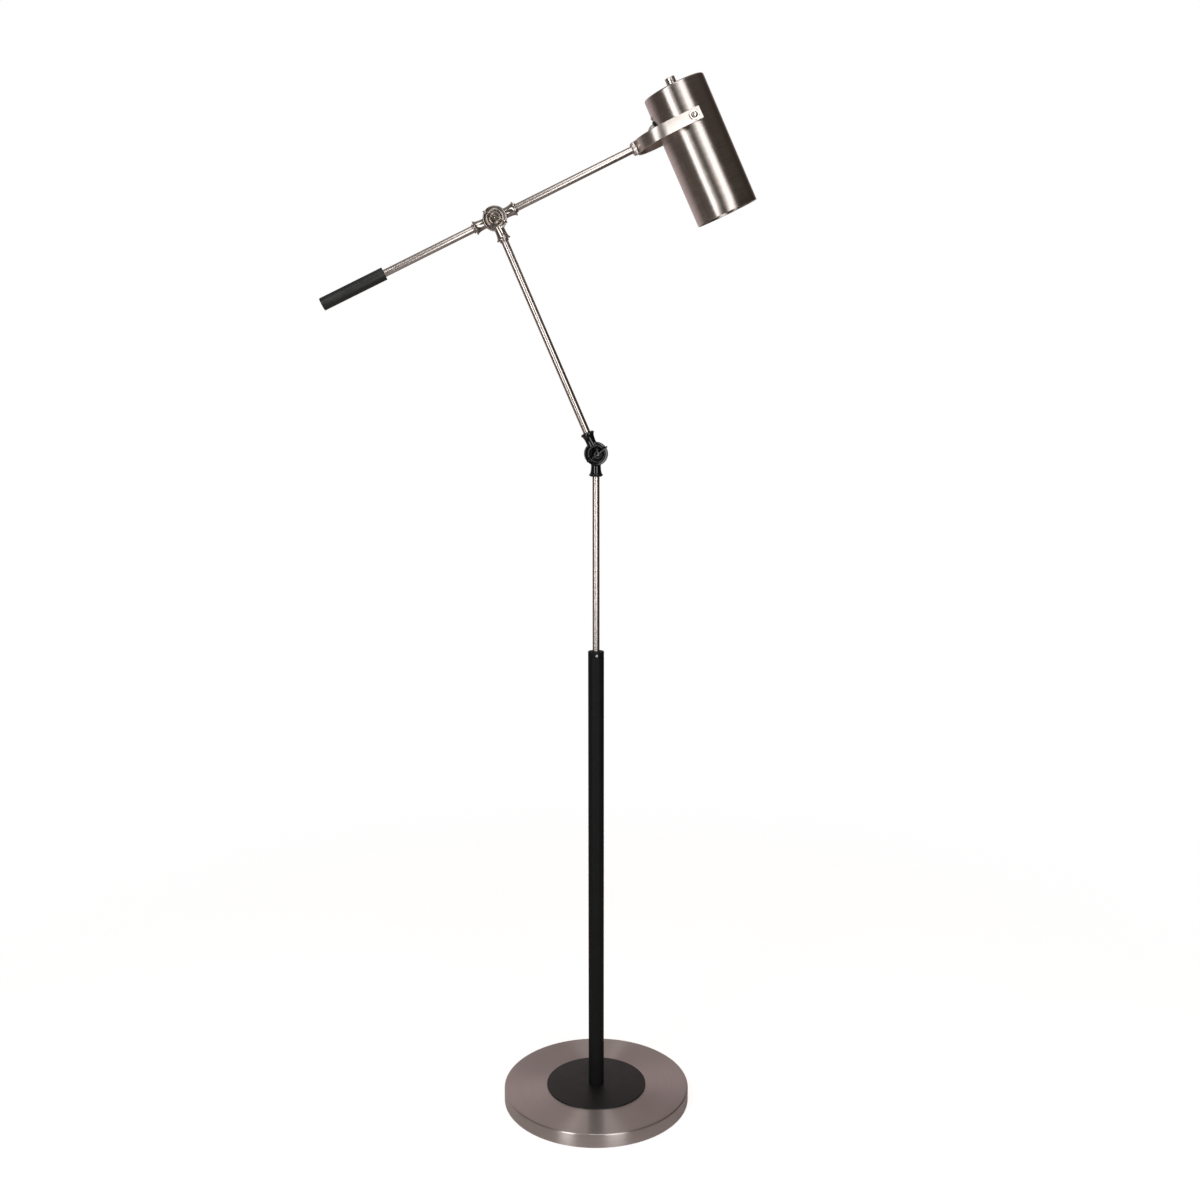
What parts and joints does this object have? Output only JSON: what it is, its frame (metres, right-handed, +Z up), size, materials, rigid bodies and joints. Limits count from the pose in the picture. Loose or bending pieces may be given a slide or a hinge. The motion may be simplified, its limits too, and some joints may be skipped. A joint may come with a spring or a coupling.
{
  "type": "pharmacy floor lamp",
  "caption": "Floor lamp with a round weighted base, a pole with a leaning post, a counterweighted arm and a tilting cylindrical shade held in a fork.",
  "frame": {"origin": "centre of the base's underside, on the floor and on the pole's axis", "axes": "+Z up along the pole, +X towards the lamp's head, -Y the side that the turning keys face"},
  "size_m": [0.6012, 0.2823, 1.4947],
  "materials": {
    "nickel": "satin brushed nickel plating",
    "polished": "polished nickel plating",
    "matt_black": "matt black powder coat",
    "gloss_black": "gloss black enamel",
    "iron": "rough cast",
    "zinc": "bright zinc plating",
    "fibre": "pressed fibre",
    "foam": "closed-cell foam",
    "rubber": "moulded",
    "phenolic": "moulded phenolic",
    "brass_slot": "plain",
    "clear": "clear flexible vinyl",
    "bulb": "frosted"
  },
  "bodies": {
    "stand": {"base_pad": "foam", "base_weight": "iron", "base_cover": "nickel", "cord_gland": "rubber", "centre_plate": "matt_black", "base_washer": "zinc", "base_nut": "zinc", "base_nipple": "zinc", "lower_tube": "matt_black", "tube_foot": "zinc", "tube_cap": "matt_black", "cap_screw": "zinc", "pole_rod": "nickel", "knuckle_lower_half": "gloss_black", "knuckle_friction_washer": "fibre", "knuckle_nut": "gloss_black"},
    "knuckle_key_body": {"knuckle_key": "gloss_black"},
    "post": {"knuckle_upper_half": "gloss_black", "post_rod": "nickel", "cross_stem_half": "nickel"},
    "arm": {"cross_arm_half": "nickel", "cross_friction_washer": "fibre", "cross_nut": "nickel", "arm_rear_rod": "nickel", "counterweight": "matt_black", "arm_front_rod": "nickel", "fork": "nickel", "fork_lock_nut": "zinc", "pivot_washer_near": "fibre", "pivot_washer_far": "fibre", "pivot_screw_near": "polished", "pivot_screw_far": "polished", "pivot_nut_near": "polished", "pivot_nut_far": "polished", "head_lead": "clear"},
    "cross_key_body": {"cross_key": "nickel"},
    "shade_body": {"shade": "nickel", "shade_grommet": "rubber", "holder_bracket": "zinc", "bracket_screw": "polished", "switch_body": "phenolic", "switch_nut": "polished", "lamp_holder": "phenolic", "holder_nut": "zinc", "contact_shell": "brass_slot", "centre_contact": "brass_slot", "bulb_cap": "zinc", "bulb_glass": "bulb"},
    "switch_knob_body": {"switch_knob": "polished"}
  },
  "joints": [
    {"name": "knuckle_tilt", "type": "hinge", "parent": "stand", "child": "post", "pos_m": [0, 0, 0.9815], "axis": [0, 1, 0], "range_deg": [-50, 60]},
    {"name": "arm_tilt", "type": "hinge", "parent": "post", "child": "arm", "pos_m": [-0.13848, 0, 1.30152], "axis": [0, 1, 0], "range_deg": [-35, 40]},
    {"name": "shade_tilt", "type": "hinge", "parent": "arm", "child": "shade_body", "pos_m": [0.12701, 0, 1.43216], "axis": [0, 1, 0], "range_deg": [-25, 35], "deforming": ["head_lead"]},
    {"name": "knuckle_key_turn", "type": "hinge", "parent": "stand", "child": "knuckle_key_body", "pos_m": [0, 0, 0.9815], "axis": [0, 1, 0], "range_deg": [-180, 180]},
    {"name": "cross_key_turn", "type": "hinge", "parent": "arm", "child": "cross_key_body", "pos_m": [-0.13848, 0, 1.30152], "axis": [0, 1, 0], "range_deg": [-180, 180]},
    {"name": "switch_turn", "type": "hinge", "parent": "shade_body", "child": "switch_knob_body", "pos_m": [0.10343, 0, 1.48251], "axis": [-0.4242, 0, 0.9056], "range_deg": [0, 360]}
  ]
}
